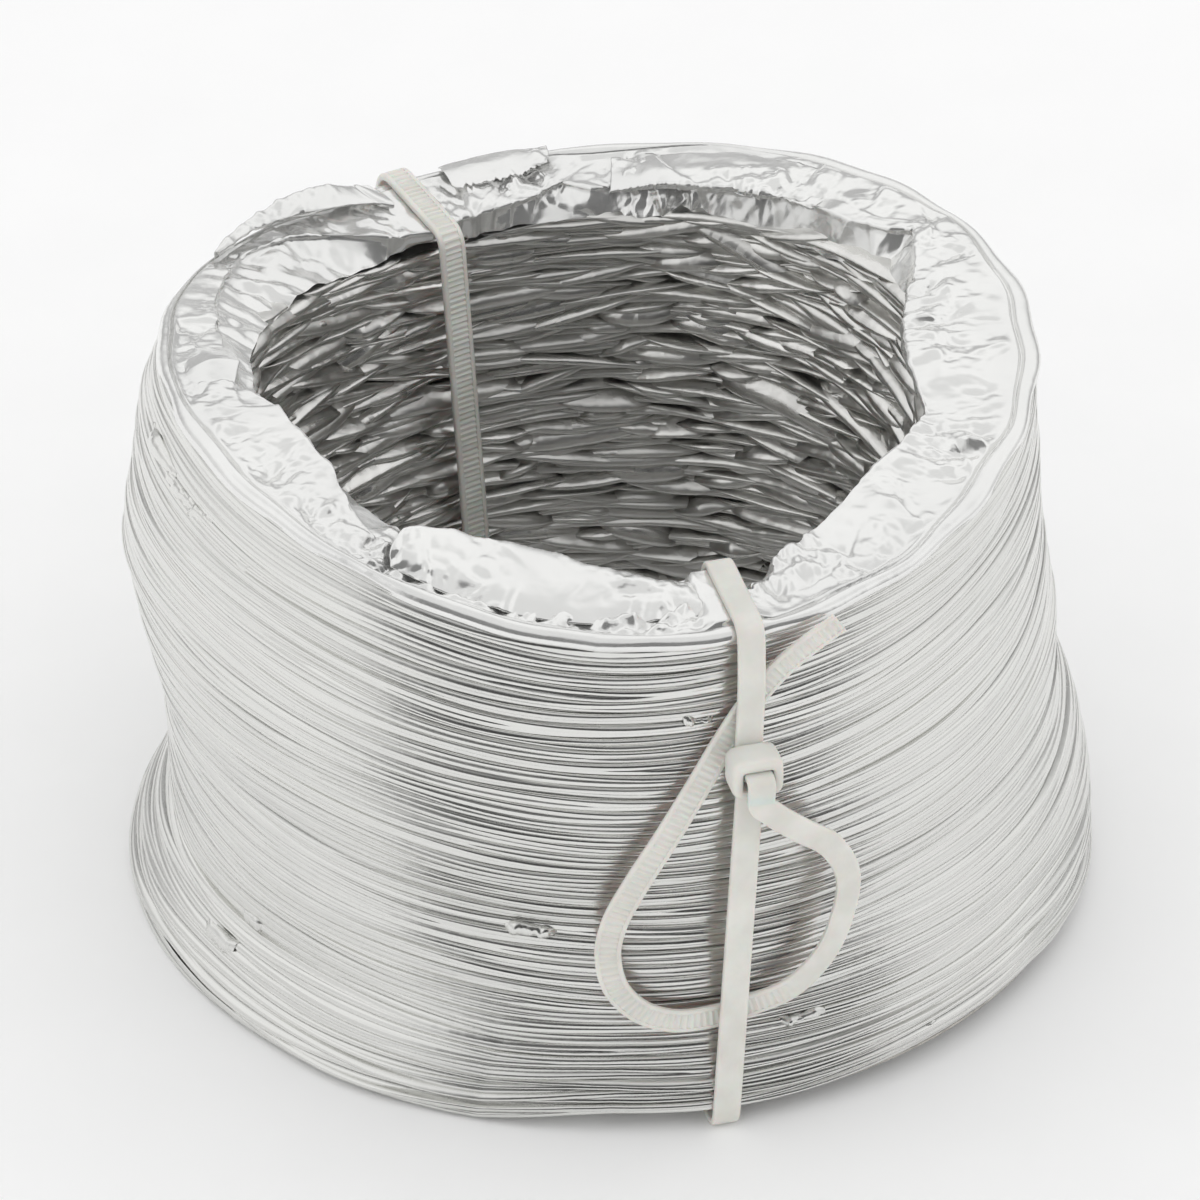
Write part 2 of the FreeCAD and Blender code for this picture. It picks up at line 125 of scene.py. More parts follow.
def lean_and_radius(level):
    """How far the stack leans to the right at a level, and its radius there."""
    return np.interp(level, LEVELS, LEANS), np.interp(level, LEVELS, RADII)


def rise(angle):
    """How much the heights are stretched in a direction."""
    swing = np.mod(angle - FRONT_TIE, 360)
    span = REAR_TIE - FRONT_TIE
    right = RISE_RIGHT * np.sin(math.pi * swing / span) ** 2
    left = RISE_LEFT * np.sin(math.pi * (swing - span) / (360 - span)) ** 2
    return 1 + np.where(swing <= span, right, left) / STACK_TOP


def foot_lift(angle, level):
    """The lowest turns are drawn up beside the front tie, and over the strap under the rear."""
    front = round_table(angle, FOOT_LIFT)
    rear = STRAP_BUMP * np.exp(-(swing_from(angle, REAR_TIE) / STRAP_BUMP_REACH) ** 2)
    return np.maximum(front, rear) * np.clip(1 - level / LIFT_ENDS, 0, 1)


def placed(angle, level, radius):
    """Point of the stack in a direction, at a level and a radius from the centre there."""
    turned = np.radians(angle)
    lean = lean_and_radius(level)[0]
    height = np.maximum(level * rise(angle) + foot_lift(angle, level), LEAST_HEIGHT)
    return np.stack([lean + radius * np.sin(turned), -radius * np.cos(turned), height], -1)


def normals_of(points):
    """Unit normal at each point of a grid of rows and columns."""
    along = np.gradient(points, axis=1)
    up = np.gradient(points, axis=0)
    normal = np.cross(along, up)
    return normal / np.maximum(np.linalg.norm(normal, axis=-1, keepdims=True), 1e-9)


# Meshes

def finished(name, mesh, material):
    """Object of a mesh, shaded smooth, with its material."""
    mesh.polygons.foreach_set("use_smooth", [True] * len(mesh.polygons))
    mesh.materials.append(material)
    piece = bpy.data.objects.new(name, mesh)
    bpy.context.scene.collection.objects.link(piece)
    return piece


def mesh_of(name, corners, faces, flat_corners):
    """Mesh of points in millimetres and faces of four, with a flat position for each face corner."""
    mesh = bpy.data.meshes.new(name)
    mesh.vertices.add(len(corners))
    mesh.vertices.foreach_set("co", (corners * METRES).astype(np.float32).ravel())
    mesh.loops.add(faces.size)
    mesh.loops.foreach_set("vertex_index", faces.astype(np.int32).ravel())
    mesh.polygons.add(len(faces))
    mesh.polygons.foreach_set("loop_start", np.arange(0, faces.size, 4, dtype=np.int32))
    mesh.update(calc_edges=True)
    layer = mesh.uv_layers.new(name="flat")
    layer.data.foreach_set("uv", flat_corners.astype(np.float32).ravel())
    return mesh


def sheets(name, patches, material):
    """One mesh of several grids. Each is its points, their flat places, whether its last column is its
    first, and how many rows further on."""
    corners, flats, faces, start = [], [], [], 0
    for points, flat, close, shift in patches:
        rows, columns = points.shape[:2]
        index = np.arange(rows * columns).reshape(rows, columns)
        joined = index.copy()
        if close:
            joined[:rows - shift, -1] = index[shift:, 0]

        def quads(table):
            sides = [table[:-1, :-1], table[:-1, 1:], table[1:, 1:], table[1:, :-1]]
            return np.stack(sides, -1).reshape(-1, 4)

        faces.append(quads(joined) + start)
        flats.append(flat.reshape(-1, 2)[quads(index)].reshape(-1, 2))
        corners.append(points.reshape(-1, 3))
        start += rows * columns
    used, packed = np.unique(np.concatenate(faces), return_inverse=True)
    kept = np.concatenate(corners)[used]
    mesh = mesh_of(name, kept, packed.reshape(-1, 4), np.concatenate(flats))
    return finished(name, mesh, material)


def grid(name, points, flat, material, close=False, shift=0):
    """Sheet through one grid of points."""
    return sheets(name, [(points, flat, close, shift)], material)


def tube(name, rings, ends=True):
    """Skin over rings of points, with its ends filled or left for the last ring to close."""
    count, points = rings.shape[:2]
    index = np.arange(count * points).reshape(count, points)
    following = np.roll(index, -1, axis=1)
    sides = np.stack([index[:-1], following[:-1], following[1:], index[1:]], -1).reshape(-1, 4)
    faces = [tuple(int(corner) for corner in face) for face in sides]
    if ends:
        faces.append(tuple(int(corner) for corner in index[0][::-1]))
        faces.append(tuple(int(corner) for corner in index[-1]))
    mesh = bpy.data.meshes.new(name)
    mesh.from_pydata([tuple(corner) for corner in rings.reshape(-1, 3) * METRES], [], faces)
    mesh.update()
    return mesh


# Materials

def feed(tree, socket, value):
    """Gives a socket its value, or a link from the socket that holds it."""
    if isinstance(value, bpy.types.NodeSocket):
        tree.links.new(value, socket)
    else:
        socket.default_value = value


def add_node(tree, kind, inputs=None, **settings):
    """Node with its settings, and with a value or a link in each input that is named."""
    made = tree.nodes.new(kind)
    for setting, value in settings.items():
        setattr(made, setting, value)
    for socket, value in (inputs or {}).items():
        feed(tree, made.inputs[socket], value)
    return made


def ranged(tree, value, low, high, to_low, to_high, way="LINEAR"):
    """Value moved from one range to another."""
    values = {"Value": value, "From Min": low, "From Max": high, "To Min": to_low, "To Max": to_high}
    return add_node(tree, "ShaderNodeMapRange", values, interpolation_type=way).outputs["Result"]


class Shader:
    """A material under construction."""

    def __init__(self, name):
        self.material = bpy.data.materials.new(name)
        self.material.use_nodes = True
        self.tree = self.material.node_tree
        self.surface = self.tree.nodes["Principled BSDF"]

    def node(self, kind, inputs=None, **settings):
        return add_node(self.tree, kind, inputs, **settings)

    def place(self):
        """Position in the piece's own frame, in metres."""
        return self.node("ShaderNodeTexCoord").outputs["Object"]

    def flat(self):
        """Position on the sheet laid flat, in metres."""
        return self.node("ShaderNodeUVMap", uv_map="flat").outputs["UV"]

    def noise(self, vector, scale, detail=3.0, roughness=0.5):
        """Clouds from 0 to 1."""
        values = {"Vector": vector, "Scale": scale, "Detail": detail, "Roughness": roughness}
        return self.node("ShaderNodeTexNoise", values).outputs["Fac"]

    def stretched(self, vector, factors):
        """Position scaled along each axis."""
        values = {"Vector": vector, "Scale": factors}
        return self.node("ShaderNodeMapping", values).outputs["Vector"]

    def spread(self, *numbers):
        return ranged(self.tree, *numbers)

    def tone(self, value, low, high, first, second, share=1):
        """Colour that goes from the first towards the second as a value goes from low to high."""
        mixed = {0: self.spread(value, low, high, 0, share), 6: first, 7: second}
        return self.node("ShaderNodeMix", mixed, data_type="RGBA").outputs[2]

    def cells(self, vector, scale, metric):
        """Distance to the nearest of many scattered points."""
        values = {"Vector": vector, "Scale": scale}
        return self.node("ShaderNodeTexVoronoi", values, distance=metric).outputs["Distance"]

    def bump(self, height, strength, distance, normal=None):
        """Normal that follows a height."""
        values = {"Height": height, "Strength": strength, "Distance": distance}
        if normal is not None:
            values["Normal"] = normal
        return self.node("ShaderNodeBump", values).outputs["Normal"]

    def put(self, **sockets):
        """The material, once its surface has its values and links."""
        for socket, value in sockets.items():
            feed(self.tree, self.surface.inputs[socket.replace("_", " ")], value)
        return self.material


def turns_foil():
    """Foil over the wire: brushed along the turns, creased, with grey rub marks."""
    made = Shader("foil_of_the_turns")
    flat, place = made.flat(), made.place()
    streaks = made.noise(made.stretched(flat, (0.9, 40, 1)), 9, 4, 0.65)
    patches = made.noise(place, 38, 3, 0.55)
    lines = made.noise(made.stretched(flat, (2.2, 60, 1)), 14, 2, 0.5)
    clean = made.tone(streaks, 0.3, 0.72, (0.73, 0.73, 0.71, 1), (0.81, 0.81, 0.785, 1))
    rubbed = made.tone(patches, 0.56, 0.74, clean, (0.66, 0.66, 0.645, 1), 0.3)
    warp = made.noise(place, 260, 2)
    pushed = made.node("ShaderNodeCombineXYZ", {0: warp, 1: warp, 2: warp}).outputs[0]
    offset = made.node("ShaderNodeVectorMath", {0: pushed, "Scale": 0.0016}, operation="SCALE")
    bent = made.node("ShaderNodeVectorMath", {0: place, 1: offset.outputs[0]}, operation="ADD")
    crumple = made.bump(made.cells(bent.outputs[0], 420, "MANHATTAN"), 0.04, 0.0003)
    return made.put(
        Base_Color=rubbed, Metallic=1.0, Roughness=made.spread(lines, 0.3, 0.7, 0.15, 0.32),
        Normal=made.bump(streaks, 0.06, 0.0001, crumple)
    )


def lip_foil():
    """Brighter foil of the lip, in flat panels with fine creases."""
    made = Shader("foil_of_the_lip")
    place = made.place()
    warp = made.noise(place, 90, 3, 0.6)
    patches = made.noise(place, 30, 4, 0.6)
    wide = made.bump(made.cells(place, 105, "MANHATTAN"), 0.12, 0.0012)
    return made.put(
        Base_Color=made.tone(patches, 0.35, 0.7, (0.88, 0.88, 0.865, 1), (0.8, 0.8, 0.79, 1)),
        Metallic=0.78, Roughness=made.spread(warp, 0.3, 0.7, 0.12, 0.27),
        Normal=made.bump(made.cells(place, 330, "CHEBYCHEV"), 0.16, 0.00035, wide)
    )


def bore_foil():
    """Duller, slightly warm foil of the pleats in the bore."""
    made = Shader("foil_of_the_bore")
    flat, place = made.flat(), made.place()
    patches = made.noise(place, 70, 4, 0.6)
    long_marks = made.noise(made.stretched(flat, (1, 22, 1)), 12, 3, 0.6)
    return made.put(
        Base_Color=made.tone(patches, 0.35, 0.68, (0.84, 0.835, 0.81, 1), (0.69, 0.685, 0.665, 1)),
        Metallic=1.0, Roughness=made.spread(long_marks, 0.3, 0.7, 0.22, 0.38),
        Normal=made.bump(made.cells(place, 300, "CHEBYCHEV"), 0.35, 0.0005)
    )


def spring_steel():
    """Drawn wire with fine marks all over."""
    made = Shader("spring_steel")
    marks = made.noise(made.place(), 500, 4, 0.6)
    return made.put(
        Base_Color=made.tone(marks, 0.35, 0.7, (0.6, 0.58, 0.54, 1), (0.42, 0.4, 0.38, 1)),
        Metallic=1.0, Roughness=made.spread(marks, 0.3, 0.7, 0.25, 0.42),
        Normal=made.bump(marks, 0.2, 0.0001)
    )


def nylon():
    """Milky moulded nylon, a little uneven."""
    made = Shader("milky_nylon")
    place = made.place()
    clouds = made.noise(place, 120, 3, 0.55)
    return made.put(
        Base_Color=made.tone(clouds, 0.35, 0.65, (0.75, 0.748, 0.705, 1), (0.67, 0.667, 0.62, 1)),
        Roughness=made.spread(clouds, 0.3, 0.7, 0.3, 0.42),
        Normal=made.bump(made.noise(place, 1500, 2, 0.5), 0.12, 0.0002),
        Subsurface_Weight=0.35, Subsurface_Scale=0.0015, Specular_IOR_Level=0.5
    )


TURNS_FOIL = turns_foil()
LIP_FOIL = lip_foil()
BORE_FOIL = bore_foil()
STEEL = spring_steel()
NYLON = nylon()


def on_section(piece, section):
    """Ties the first section's piece to the base turns, which stand on the floor; for the others, only
    bakes the placement into the points.
    """
    if section == 1:
        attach(piece, "base_turns")
        return
    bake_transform(piece)


# Turns of foil over the wire

COLUMNS = 540
RIDGE_ROWS = np.array([0, 0.05, 0.13, 0.28, 0.5, 0.72, 0.87, 0.95])
# Turns below the first level, down to the floor
LOWEST_TURNS = 2
# Middle of the front side of the stack, where the gaps are deeper, and how far that reaches
FRONT_MIDDLE = 8
FRONT_REACH = 42
GAP_DEPTHS = (0.06, 1.15)
# Length in metres that a sheet's flat position takes for a turn round the stack
FLAT_TURN = 0.5
# What changes at random along the helix
GAP_DEPTH, RIDGE_LEVEL, RIDGE_RADIUS, RIPPLE, LOOSE_FOOT = range(5)
turn_rng = np.random.default_rng(11)
TURN_SEEDS = [turn_rng.integers(1 << 30) for _ in range(5)]


def along_turns(turns, kind, shortest, longest):
    """Random change along the helix, the same wherever two sections meet. Lengths are in turns."""
    return waves(turns, np.random.default_rng(TURN_SEEDS[kind]), 9, shortest, longest)


def foil_turns(section):
    """One section of the helix of ridges."""
    extra = LOWEST_TURNS if section == 1 else 0
    first = SECTION_TURNS * (section - 1) - extra
    count = SECTION_TURNS + extra
    across = np.append((np.arange(count)[:, None] + RIDGE_ROWS).ravel(), count)
    share = np.linspace(0, 1, COLUMNS + 1)
    angle = np.broadcast_to(SEAM + 360 * share, (len(across), COLUMNS + 1))
    turns = first + across[:, None] + share
    ridge = first + np.floor(across)[:, None] + share
    part_way = np.mod(across, 1)[:, None] + 0 * share
    gap = first + np.floor(across + 0.5)[:, None] + share

    # every second gap is the deeper one at the front, and the pairs change over at the back
    front = np.exp(-(swing_from(angle, FRONT_MIDDLE) / FRONT_REACH) ** 2)
    paired = np.cos(math.pi * (gap - (360 - SEAM) / 360))
    uneven = along_turns(gap, GAP_DEPTH, 0.12, 1.4)
    low_down = smooth_step(FIRST_LEVEL + TURN_PITCH * gap, 16, 4)
    depth = 0.16 + 0.62 * smooth_step(uneven, 0.2, 1.5) + 0.1 * paired
    depth = depth + front * (0.22 + 0.34 * paired + 0.12 * uneven) + 0.25 * low_down
    depth = np.clip(depth, *GAP_DEPTHS)

    crest = np.sin(math.pi * part_way)
    level = FIRST_LEVEL + TURN_PITCH * turns
    level = level + crest * (0.13 + 0.05 * front) * along_turns(ridge, RIDGE_LEVEL, 0.07, 0.7)
    level = level + 0.12 * np.sin(math.radians(7) * angle + level * 0.4)
    flank = np.abs(2 * part_way - 1) ** 2.6
    sweep = 0.35 * np.sin(np.radians(angle * 3) + level * 0.11)
    sweep = sweep + 0.25 * np.sin(np.radians(angle * 7) - level * 0.2)
    radius = lean_and_radius(level)[1] + 0.22 * along_turns(ridge, RIDGE_RADIUS, 0.06, 0.7)
    radius = radius + 0.008 * along_turns(ridge, RIPPLE, 0.005, 0.015) + sweep - depth * flank
    loose = np.interp(level, [0, 6, 20], [0.7, 0.5, 0])
    radius = radius + loose * along_turns(ridge, LOOSE_FOOT, 0.1, 0.8)
    # the last turns end under the lip
    over = np.maximum(level - STACK_TOP + 0.3, 0)
    points = placed(angle, level - over, radius - 0.8 * over)
    flat = np.stack([angle / 360 * FLAT_TURN, turns * TURN_PITCH * METRES], -1)
    piece = grid("foil_turns_%d" % section, points, flat, TURNS_FOIL, True, len(RIDGE_ROWS))
    on_section(piece, section)
    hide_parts("outer_foil_%d" % section)


# Pleats of the bore

PLEATS = 5
PLEAT_COLUMNS = 500
FLAT_PLEAT = 0.36
# Lowest level of the ply, and how far under the top of the stack its short folds stay
PLEATS_START = 0.4
FOLDS_START = 0.6
FOLDS_BELOW_TOP = 3.2
# (share of a pleat's height, depth from its edge) round one pleat
PLEAT_OUTLINE = np.array([
    (0, 5.4), (0.08, 3.3), (0.18, 1.5), (0.3, 0.4), (0.45, 0), (0.6, 0.3), (0.75, 1.3),
    (0.88, 3.1),
])
# (depth from its edge, share of its thickness) round one short fold, from its upper side to its lower
LEAF_OUTLINE = np.array([
    (5, 1.5), (2.4, 1.12), (1.1, 0.86), (0.35, 0.5), (0, 0.1), (0.2, -0.3), (1, -0.6),
    (3.6, -0.8),
])
LEAF_ROWS = 6
LEAF_SPACING = 12


def folds_round(angle, rng, size):
    """Change round one pleat: straight runs 6 to 22 mm long that meet in corners."""
    stops = [0.0]
    while stops[-1] < 360:
        stops.append(stops[-1] + rng.uniform(6, 22))
    stops = np.array(stops[:-1])
    return np.interp(np.mod(angle, 360), stops, rng.uniform(-size, size, len(stops)), period=360)


def leaf(rng, middle, level):
    """Short fold of the ply: a lens that stands out of the wall of the bore."""
    along = np.linspace(-1, 1, 17)
    half = rng.uniform(5, 15)
    taper = (1 - np.abs(along) ** rng.uniform(1.3, 3.2)) ** rng.uniform(0.6, 1.1)
    edge = BORE_RADIUS + rng.uniform(-0.1, 1.9) + 2.8 * (1 - taper)
    thick = rng.choice([rng.uniform(0.55, 1.2), rng.uniform(1.2, 2.1)], p=[0.75, 0.25]) * taper + 0.04
    slope, bend = rng.normal(0, 0.13), rng.normal(0, 0.35)
    droop = rng.uniform(-0.15, 0.4)
    kink = rng.uniform(-0.6, 0.6)
    line = level + slope * along * half + bend * along ** 2
    line = line + rng.normal(0, 0.3) * np.abs(along - kink)
    depth, share = LEAF_OUTLINE[:, :1], LEAF_OUTLINE[:, 1:]
    levels = line + thick * share + droop * depth
    too_high = max(levels.max() - (STACK_TOP - FOLDS_BELOW_TOP), 0)
    levels = levels - too_high + max(FOLDS_START - levels.min(), 0)
    radius = edge + depth * (0.6 + 0.4 * taper)
    angle = middle + np.degrees(along * half / BORE_RADIUS) + 0 * depth
    return placed(angle, levels, radius), angle


def bore_pleats(section):
    """One section of the folded inner ply: pleats all round, broken up by short folds."""
    rng = np.random.default_rng(400 + section)
    angle = np.linspace(0, 360, PLEAT_COLUMNS + 1)
    low = LEVELS[section - 1]
    pitch = SECTION_STEP / PLEATS
    rows = []
    edges = [low + (pleat + 0.5) * pitch + folds_round(angle, rng, 1.0) for pleat in range(PLEATS)]
    for height in edges:
        edge = BORE_RADIUS + 1.9 + folds_round(angle, rng, 1.0)
        tilt = 0.12 + folds_round(angle, rng, 0.12)
        thick = pitch * (1.1 + folds_round(angle, rng, 0.25))
        for share, depth in PLEAT_OUTLINE:
            rows.append((height + (share - 0.45) * thick + tilt * depth, edge + depth))
    rows.append((rows[0][0] + SECTION_STEP, rows[0][1]))
    level = np.stack([spot for spot, _ in rows])
    radius = np.stack([distance for _, distance in rows])
    level[:, -1], radius[:, -1] = level[:, 0], radius[:, 0]
    turned = np.broadcast_to(angle, level.shape)
    top = STACK_TOP - 2.0 - 1.3 * (radius - BORE_RADIUS) + 0.5 * folds_round(angle, rng, 1.0)
    # rows that would stand over the top are folded down again
    heights = np.maximum(np.where(level > top, top - 0.6 * (level - top), level), PLEATS_START)
    points = placed(turned, heights, radius)
    across = np.arange(len(rows))[:, None] * 0.0012 + 0 * angle
    flat = np.stack([turned / 360 * FLAT_PLEAT, across], -1)
    # the ply is seen from the bore, so its rows run downwards
    patches = [(points[::-1], flat[::-1], True, 0)]
    for row in range(LEAF_ROWS):
        level_of_row = low + (row + 0.5) * SECTION_STEP / LEAF_ROWS
        for spot in np.arange(0, 360, math.degrees(LEAF_SPACING / BORE_RADIUS)):
            made, angles = leaf(rng, spot + rng.uniform(0, 12), level_of_row + rng.normal(0, 0.5))
            across = LEAF_OUTLINE[:, :1] * METRES + 0.05 * row + 0 * angles
            patches.append((made, np.stack([angles / 360 * FLAT_PLEAT, across], -1), False, 0))
    piece = sheets("bore_pleats_%d" % section, patches, BORE_FOIL)
    on_section(piece, section)
    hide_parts("inner_pleats_%d" % section)


for section in range(1, SECTIONS + 1):
    foil_turns(section)
    bore_pleats(section)
    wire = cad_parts["wire_turns_%d" % section]
    wire.data.materials.clear()
    wire.data.materials.append(STEEL)


# Foil foot under the lowest turn

FOOT_COLUMNS = 620
# (level, change of the radius), from outside under the stack to the bore
FOOT_PROFILE = np.array([
    (1.6, -0.75), (0.9, -0.25), (0.35, -0.7), (0.22, -3), (0.3, -7), (0.4, -12),
    (0.5, -17), (0.6, -21), (0.9, -24.2), (1.8, -25.4), (3.4, -24.8),
])


def foil_foot():
    """Crumpled foil that the stack stands on."""
    rng = np.random.default_rng(77)
    angle = np.linspace(0, 360, FOOT_COLUMNS + 1)
    level = FOOT_PROFILE[:, :1] + 0 * angle
    radius = RADII[0] + FOOT_PROFILE[:, 1:] + 0 * angle
    turned = np.broadcast_to(angle, level.shape)
    x, y = radius * np.sin(np.radians(turned)), radius * np.cos(np.radians(turned))
    points = placed(turned, level + creases(x, y, 9, rng) * 0.5, radius)
    flat = np.stack([turned / 360 * FLAT_TURN, (RADII[0] - radius) * METRES], -1)
    piece = grid("foil_foot", points[::-1], flat[::-1], TURNS_FOIL, True)
    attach(piece, "base_turns")
    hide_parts("bottom_cuff")


foil_foot()


# Lip: the foil end folded inwards over the top turn

# (degrees, radius) of its inner edge
LIP_EDGE = np.array([
    (0, 55), (3, 56.4), (7.4, 59.6), (11, 57), (16, 56.6), (21.4, 56.8), (22.6, 63.5), (24, 65),
    (28, 61), (33, 56.6), (38, 56.4), (45, 55), (53, 54), (61, 55), (70, 56.7), (75, 57.7),
    (81, 55.5), (88, 53.4), (99, 52.8), (108, 56), (116, 61), (124, 66.5), (127, 63),
    (134, 60.3), (144, 60.8), (160, 60.5), (170, 62.2), (181, 61.6), (185.6, 64.6), (190, 61.7),
    (195, 60.4), (204, 58.6), (210, 56.8), (216, 59), (224, 66), (230, 70.5), (238, 72),
    (246, 70.5), (256, 68), (267, 64.5), (277, 63.2), (285, 63.6), (287.6, 61.4), (292, 58.6),
    (301, 58.7), (311, 59.2), (316, 61.6), (323, 65.5), (329, 66.5), (334.8, 57.6), (343, 55.5),
    (351, 54.6), (355.3, 53.9),
])
# (degrees, how far the lip dips behind the rim)
LIP_DIP = np.array([
    (0, 1.2), (10, 1.1), (14.5, 0.8), (16, -0.4), (21.6, -0.4), (24, 0.4), (60, 0.3), (120, 0.3),
    (202, 0.3), (204, -0.4), (214, -0.4), (216, 0.3), (240, 0.4), (300, 0.4), (322, 0.5),
    (332, 1.1), (345, 1.2),
])
# (degrees, how far its inner edge hangs into the bore)
LIP_HANG = np.array([
    (0, 1.5), (30, 2), (60, 2.5), (90, 3), (120, 5), (135, 6.5), (150, 5.5), (165, 4.2),
    (180, 3.8), (195, 3.4), (203, 3), (232, 3), (245, 3.2), (258, 3.2), (270, 3),
    (300, 2), (330, 1.5),
])
# Crushed places: (degrees, radius, reach, strength)
CRUSHED = [
    (276, 68, 7, 0.9), (285, 70, 6, 1.2), (297, 71, 7, 1), (306, 70, 8, 1.3), (317, 70.5, 6, 1.6),
    (327, 68, 6, 1.3), (8, 60, 4, 1.6), (15, 61, 4, 1.8), (27, 64, 6, 1.4), (33, 60, 6.5, 1.6),
    (38, 66, 6, 1.2), (45, 68, 6, 1.1), (56, 60, 6, 0.7), (68, 67, 8, 1.7), (64, 71.5, 6, 1.1),
    (71, 61, 6, 1.2), (80, 66, 6, 0.6), (92, 61, 6, 0.8), (98, 56, 6, 1.2), (108, 60, 7, 1),
    (117, 71, 6, 1), (122, 66, 6, 0.8), (134, 68, 5, 0.8), (150, 66, 7, 1), (166, 62, 7, 1.6),
    (176, 66, 7, 1.2), (192, 68, 6, 1.3), (205, 64, 6, 1.3), (213, 64, 6, 1.1), (232, 68, 8, 0.7),
    (245, 65, 8, 0.8), (258, 65, 7, 0.7), (266, 70, 5, 0.6),
]
LIP_COLUMNS = 1100
FLAT_LIP = 0.47
MIDDLE_OF_LIP = 68
LONG_CREASES = 80
# Largest radius of the lower end of the hanging part
HANG_RADIUS = 58.9
# How far round from each strap's middle the lip is held flat, and how far that reaches
HELD_FROM_TIE = 2.4
HELD_REACH = 3.4


def long_creases(x, y, rng, count, radii):
    """Thin straight creases in a sheet that is otherwise smooth."""
    height = np.zeros_like(x)
    for _ in range(count):
        turned, reach = rng.uniform(0, 2 * math.pi), rng.uniform(*radii)
        heading, length = rng.uniform(0, math.pi), rng.uniform(3, 11)
        dx, dy = x - reach * math.sin(turned), y + reach * math.cos(turned)
        along = dx * math.cos(heading) + dy * math.sin(heading)
        bow = 0.04 * along ** 2 * rng.uniform(-1, 1)
        off = dy * math.cos(heading) - dx * math.sin(heading) + bow
        window = np.exp(-(along / length) ** 4)
        height += window * rng.choice([-1, 1]) * (
            0.22 * np.exp(-(off / 0.35) ** 2) + 0.3 * np.tanh(off / 0.8) * np.exp(-(off / 5) ** 2)
        )
    return height


def near_ties(angle):
    """1 under a strap, falling to 0 a little beside it."""
    shade = np.zeros_like(angle)
    for tie in (FRONT_TIE, REAR_TIE):
        swing = swing_from(angle, tie + HELD_FROM_TIE)
        shade = np.maximum(shade, np.exp(-(swing / HELD_REACH) ** 4))
    return shade


def crushed(points, rng):
    """How far foil is pushed off its smooth shape, near the crushed places."""
    x, y, z = points[..., 0], points[..., 1], points[..., 2]
    near = np.zeros_like(x)
    for angle, radius, reach, strength in CRUSHED:
        turned = math.radians(angle)
        gap = np.hypot(x - LEANS[-1] - radius * math.sin(turned), y + radius * math.cos(turned))
        near = np.maximum(near, strength * np.exp(-(gap / reach) ** 2))
    # folds run mostly from the rim to the bore
    inwards, round_rim = np.hypot(x, y) + 0.4 * z, np.arctan2(x, -y) * MIDDLE_OF_LIP
    sharp = creases(0.42 * inwards + 0.15 * round_rim, round_rim - 0.3 * inwards, 4.4, rng, 6) - 0.45
    tiny = creases(0.5 * inwards, round_rim + 0.3 * inwards, 2.1, rng, 5) - 0.45
    return near * (sharp * 2.9 + tiny * 0.8)


def lip():
    """The foil lip, from the rim inwards and down into the bore."""
    rng = np.random.default_rng(21)
    angle = np.linspace(0, 360, LIP_COLUMNS + 1)
    inner, dip = round_table(angle, LIP_EDGE), round_table(angle, LIP_DIP)
    hang = round_table(angle, LIP_HANG) + 0.5 * waves(angle, rng, 6, 5, 40)
    outer = RADII[-1] + 0.35 + 0.3 * waves(angle, rng, 6, 10, 72)
    width = outer - inner
    # the smooth top turn, then a seam, then the folded foil
    seam = 0.15 + 0.03 * waves(angle, rng, 5, 20, 90)
    # (share of the way inwards, level above the stack, share of the dip)
    profile = [
        (0.035, -1.7, 0), (0.005, -1.45, 0), (-0.012, -0.9, 0), (-0.012, -0.2, 0), (0, 0.35, 0),
        (0.035, 0.8, 0), (0.07, 0.95, 0),
    ]
    for share in np.concatenate([np.linspace(0.09, 0.22, 12), np.linspace(0.24, 0.965, 32)]):
        profile.append((share, 0.95, smooth_step(share, 0.1, 0.19)))
    profile += [(0.985, 0.9, 1), (0.997, 0.7, 1), (1, 0.3, 1)]
    level, radius = [], []
    for share, height, dipped in profile:
        groove = 0.75 * np.exp(-((share - seam) / 0.016) ** 2)
        folded = 0.3 * smooth_step(share, seam, seam + 0.03) * (height > 0.8)
        level.append(STACK_TOP + height - dip * dipped - groove + folded)
        radius.append(outer - share * width)
    # the hanging part curls back under the lip, or slopes down to the pleats where the lip is narrow
    low_radius = np.minimum(inner + 2.2 * np.clip(3 / hang, 0.3, 1), HANG_RADIUS)
    for share in np.linspace(0.08, 1, 14):
        level.append(STACK_TOP + 0.3 - dip - hang * share)
        radius.append(inner + (low_radius - inner) * share ** np.where(inner > low_radius, 1, 2))
    level, radius = np.stack(level), np.stack(radius)
    turned = np.broadcast_to(angle, level.shape)
    points = placed(turned, level, radius)
    x, y, z = points[..., 0], points[..., 1], points[..., 2]
    inward = (outer - radius) / width
    swell = smooth_step(inward, seam + 0.01, seam + 0.14) * (1 - 0.85 * near_ties(turned))
    broad = creases(x + 0.4 * z, y - 0.4 * z, 21, rng, 5) - 0.45
    calm = smooth_step(creases(x, y, 33, rng, 4), 0.34, 0.6)
    facets = (creases(x - 0.5 * z, y + 0.3 * z, 7.5, rng, 6) - 0.45) * (1 - 0.8 * calm)
    dipped = smooth_step(dip, 0.5, 0.9) * smooth_step(inward, 0.1, 0.2)
    rough = (creases(x + 0.7 * z, y, 2.8, rng, 6) - 0.45) * 3.4 * dipped
    sharp = long_creases(x, y, rng, LONG_CREASES, (56, 74)) + crushed(points, rng)
    push = (broad * 2.4 + facets + sharp + rough) * swell
    points = points + normals_of(points) * push[..., None]
    points[:, -1] = points[:, 0]
    flat = np.stack([turned / 360 * FLAT_LIP, (outer - radius) * METRES], -1)
    piece = grid("foil_lip", points, flat, LIP_FOIL, True)
    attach(piece, "turns_8")
    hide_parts("top_cuff")


